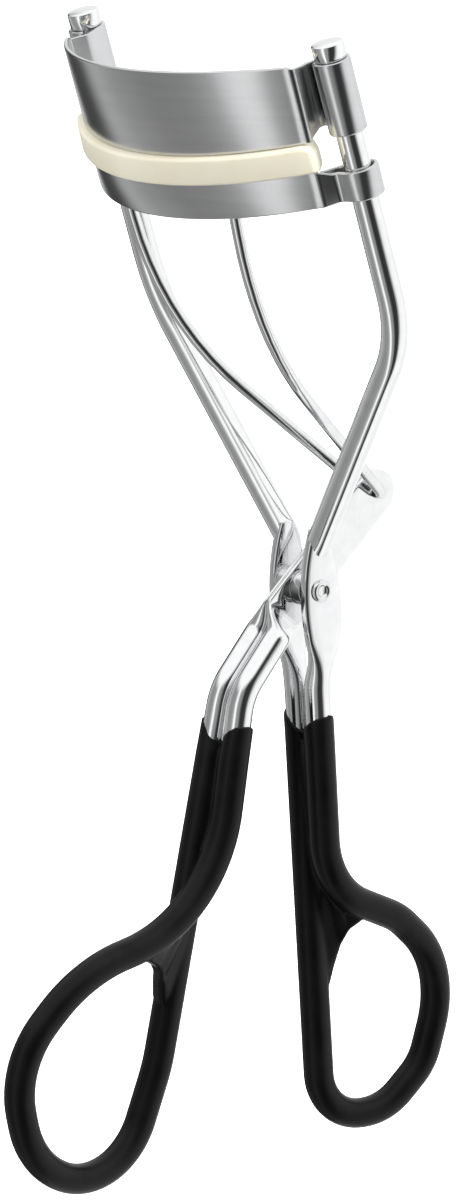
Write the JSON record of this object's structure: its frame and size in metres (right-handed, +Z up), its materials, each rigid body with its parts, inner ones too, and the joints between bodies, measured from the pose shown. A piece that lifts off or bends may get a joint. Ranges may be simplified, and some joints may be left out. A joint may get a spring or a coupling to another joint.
{
  "type": "eyelash curler",
  "caption": "Hand-held eyelash curler: scissor handles with coated finger loops drive a padded curved jaw along two posts against a fixed curved plate.",
  "frame": {"origin": "centre of the fixed handle's finger loop, where a finger holds the tool", "axes": "+X along the pivot rivet towards the right post, -Y towards the convex front of the jaws, +Z up along the fixed handle towards the jaws"},
  "size_m": [0.0388, 0.0501, 0.1043],
  "materials": {
    "chrome_wire": "polished nickel-chrome plate",
    "cap_chrome": "polished nickel-chrome plate",
    "link_steel": "polished spring wire",
    "rivet_steel": "polished, pressed rivet",
    "jaw_steel": "satin plated sheet",
    "vinyl_grip": "satin black dipped vinyl",
    "pad_silicone": "soft matt cream silicone rubber"
  },
  "bodies": {
    "frame": {"left_post": "chrome_wire", "right_post": "chrome_wire", "handle_frame": "chrome_wire", "fixed_grip": "vinyl_grip", "pivot_rivet": "rivet_steel", "pivot_spacers": "rivet_steel", "upper_jaw": "jaw_steel", "left_cap": "cap_chrome", "right_cap": "cap_chrome"},
    "lever": {"lever_frame": "chrome_wire", "lever_grip": "vinyl_grip"},
    "link": {"link_wire": "link_steel"},
    "lower_jaw": {"lower_jaw": "jaw_steel", "pad_channel": "jaw_steel", "link_lugs": "jaw_steel", "lash_pad": "pad_silicone"}
  },
  "joints": [
    {"name": "lever_pivot", "type": "hinge", "parent": "frame", "child": "lever", "pos_m": [0, -0.0086, 0.0404], "axis": [-1, 0, 0], "range_deg": [0, 30]},
    {"name": "link_swing", "type": "hinge", "parent": "lever", "child": "link", "pos_m": [0, -0.00026, 0.04818], "axis": [1, 0, 0], "range_deg": [0, 33]},
    {"name": "jaw_slide", "type": "slide", "parent": "frame", "child": "lower_jaw", "axis": [0, 0.3007, -0.9537], "range_m": [0, 0.0063]}
  ],
  "couplings": [
    {"joint": "link_swing", "follows": "lever_pivot", "ratio": 1.075},
    {"joint": "jaw_slide", "follows": "lever_pivot", "m_per_rad": 0.01196}
  ]
}
